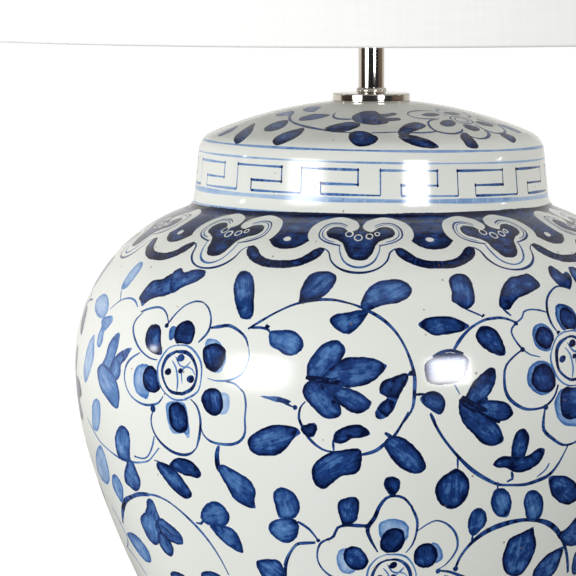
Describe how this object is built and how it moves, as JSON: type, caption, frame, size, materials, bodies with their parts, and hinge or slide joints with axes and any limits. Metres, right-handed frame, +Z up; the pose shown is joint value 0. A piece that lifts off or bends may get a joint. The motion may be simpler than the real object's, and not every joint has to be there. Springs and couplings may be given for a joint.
{
  "type": "table lamp",
  "caption": "Porcelain ginger jar table lamp with a moulded lid, nickel neck, wire harp, turn-knob lampholder, bulb and a white drum shade held down by a ball finial.",
  "frame": {"origin": "on the table, under the middle of the jar's foot", "axes": "+Z up along the pipe; -Y is the front, where the switch knob points; +X to the right seen from the front"},
  "size_m": [0.4571, 0.4572, 0.616],
  "materials": {
    "porcelain": "clear glossy glaze over hand-painted cobalt blue decoration",
    "felt": "pressed wool felt",
    "grommet_rubber": "matte",
    "zinc_steel": "zinc plated",
    "clear_gasket": "soft translucent sheet",
    "polished_nickel": "polished",
    "satin_nickel": "plated wire and strip",
    "socket_nickel": "plated drawn metal",
    "fibre_paper": "waxed fibre",
    "phenolic": "moulded",
    "phenolic_black": "moulded",
    "brass": "plain",
    "brass_shell": "rolled thread",
    "bulb_aluminium": "rolled thread",
    "frosted_glass": "frosted white",
    "linen": "fine off-white weave",
    "styrene": "white, smooth",
    "white_wire": "white lacquer"
  },
  "bodies": {
    "base": {"jar_body": "porcelain", "base_felt": "felt", "cord_grommet": "grommet_rubber", "lamp_pipe": "zinc_steel", "foot_rubber_cushion": "grommet_rubber", "foot_steel_washer": "zinc_steel", "foot_spring_washer": "zinc_steel", "foot_nut": "zinc_steel", "neck_gasket": "clear_gasket", "neck_plate": "polished_nickel", "neck_bead": "polished_nickel", "neck_tube": "polished_nickel", "harp_saddle": "satin_nickel", "harp": "satin_nickel", "harp_stud": "satin_nickel", "saddle_locknut": "zinc_steel", "socket_cap": "socket_nickel", "socket_set_screw": "zinc_steel", "socket_shell": "socket_nickel", "socket_liner": "fibre_paper", "socket_core": "phenolic", "terminal_screws": "brass", "screw_shell": "brass_shell", "centre_contact": "brass", "bulb_base": "bulb_aluminium", "bulb_glass": "frosted_glass"},
    "shade": {"shade_fabric": "linen", "shade_liner": "styrene", "bottom_hoop": "white_wire", "top_hoop": "white_wire", "spider_hub": "white_wire", "spider_arm_rear": "white_wire", "spider_arm_left": "white_wire", "spider_arm_right": "white_wire"},
    "finial": {"finial": "polished_nickel"},
    "switch": {"switch_shaft": "phenolic_black", "switch_knob": "phenolic_black"},
    "ferrule_left": {"harp_ferrule_left": "satin_nickel"},
    "ferrule_right": {"harp_ferrule_right": "satin_nickel"}
  },
  "joints": [
    {"name": "shade_turn", "type": "hinge", "parent": "base", "child": "shade", "pos_m": [0, 0, 0.58394], "axis": [0, 0, 1], "continuous": true},
    {"name": "finial_turn", "type": "hinge", "parent": "base", "child": "finial", "pos_m": [0, 0, 0.58394], "axis": [0, 0, 1], "continuous": true},
    {"name": "switch_turn", "type": "hinge", "parent": "base", "child": "switch", "pos_m": [0, -0.03, 0.35844], "axis": [0, -1, 0], "continuous": true},
    {"name": "ferrule_left_slide", "type": "slide", "parent": "base", "child": "ferrule_left", "axis": [0, 0, 1], "range_m": [0, 0.017]},
    {"name": "ferrule_right_slide", "type": "slide", "parent": "base", "child": "ferrule_right", "axis": [0, 0, 1], "range_m": [0, 0.017]}
  ]
}
